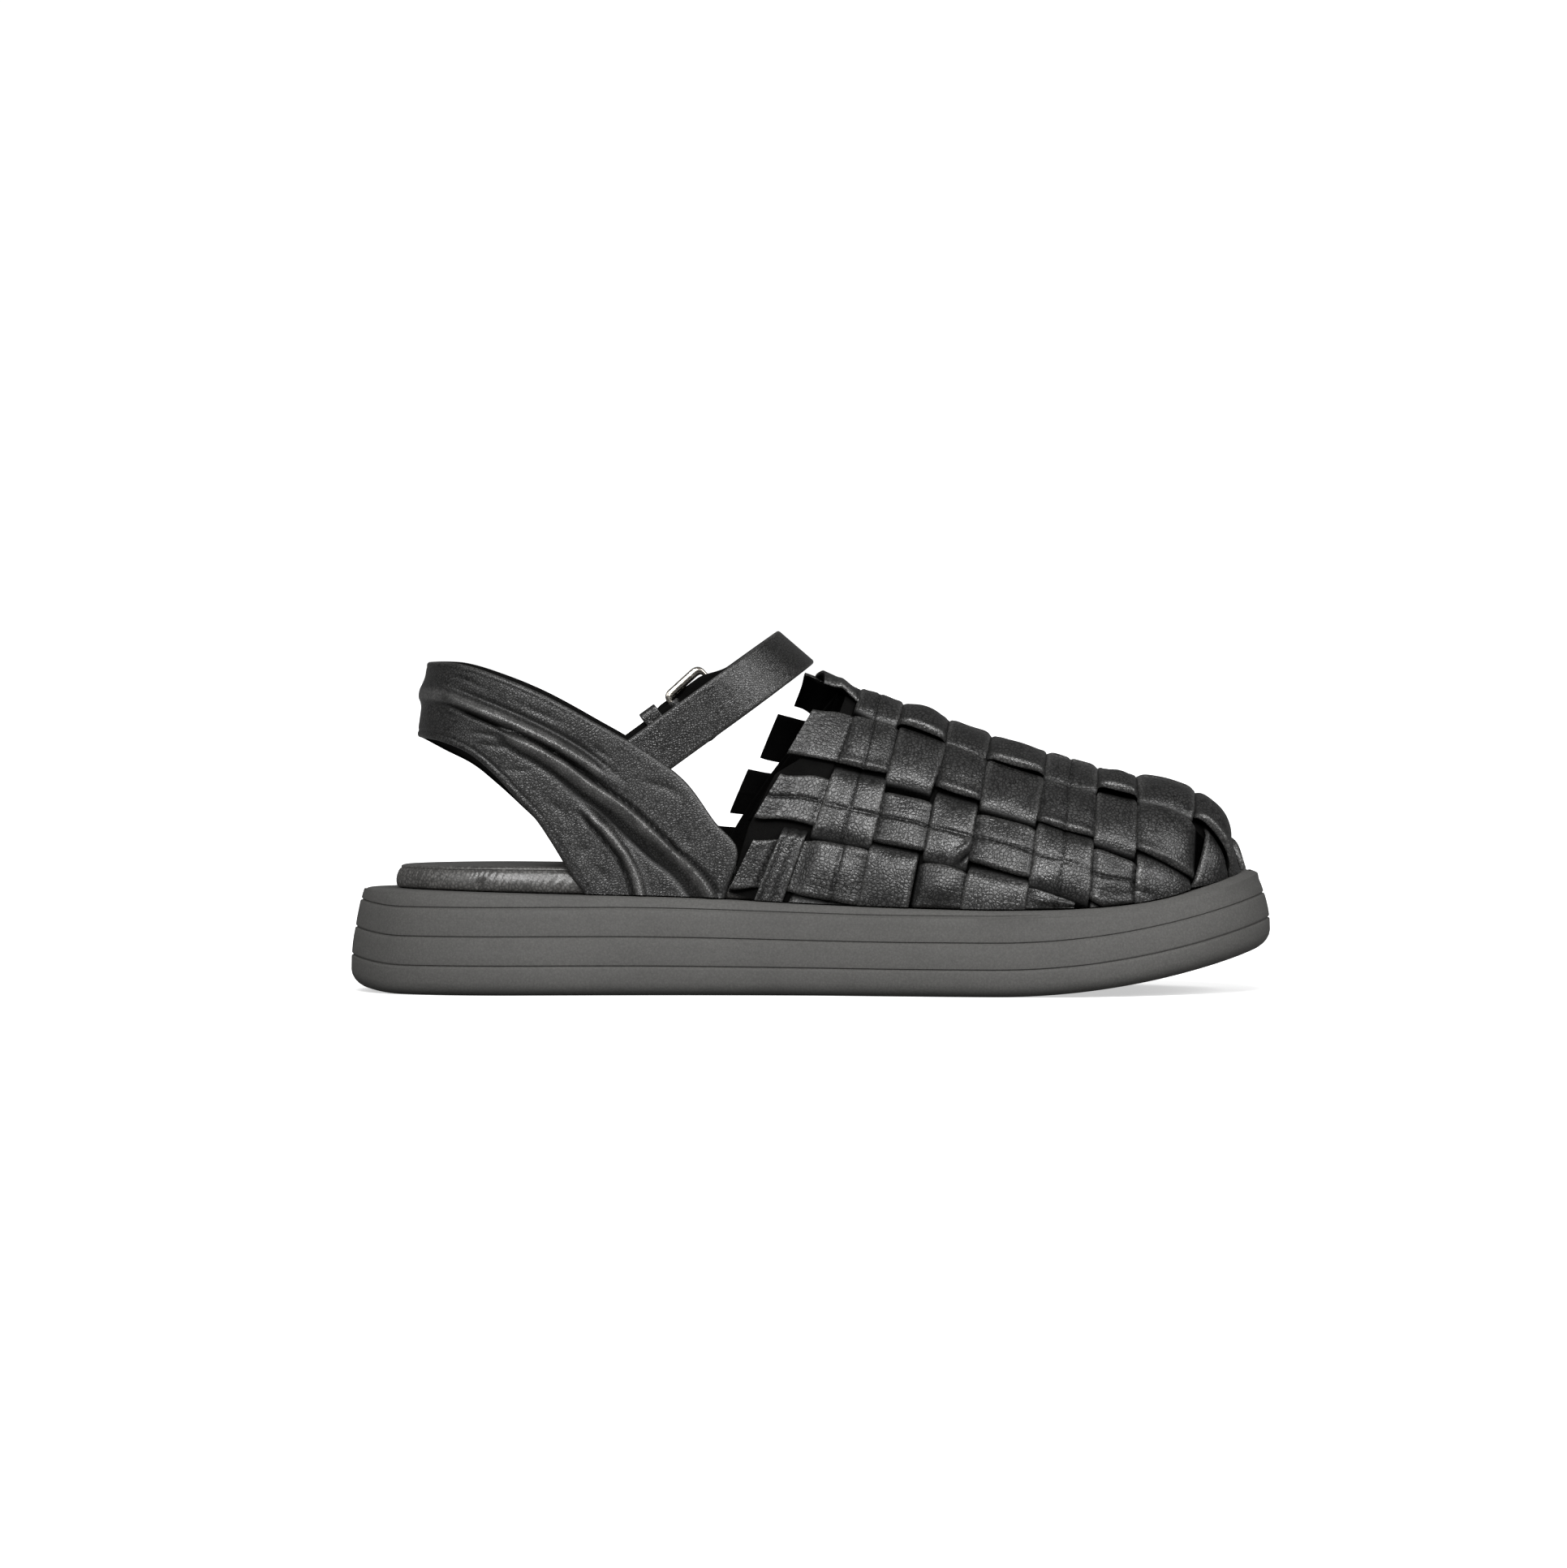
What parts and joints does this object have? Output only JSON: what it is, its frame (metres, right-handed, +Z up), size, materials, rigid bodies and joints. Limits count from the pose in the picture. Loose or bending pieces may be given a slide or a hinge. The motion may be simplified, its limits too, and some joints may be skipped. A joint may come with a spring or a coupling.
{
  "type": "woven slingback sandal",
  "caption": "Closed-toe sandal with a plain-woven leather vamp, a gathered heel band and a buckled instep strap on a thick flatform sole with a low wedge and toe spring.",
  "frame": {"origin": "on the ground under the middle of the sole's box", "axes": "+X from heel to toe, +Y to the outer side of the foot, +Z up"},
  "size_m": [0.268, 0.1036, 0.1053],
  "materials": {
    "sole_rubber": "matte moulded",
    "insole_leather": "matte",
    "upper_leather": "soft sheen, fine grain",
    "buckle_metal": "polished"
  },
  "bodies": {
    "root": {"sole": "sole_rubber", "insole": "insole_leather", "vamp": "upper_leather", "heel_band": "upper_leather", "ankle_strap": "upper_leather", "buckle_tab": "upper_leather", "strap_keeper": "upper_leather", "buckle_frame": "buckle_metal", "buckle_prong": "buckle_metal"}
  },
  "joints": []
}
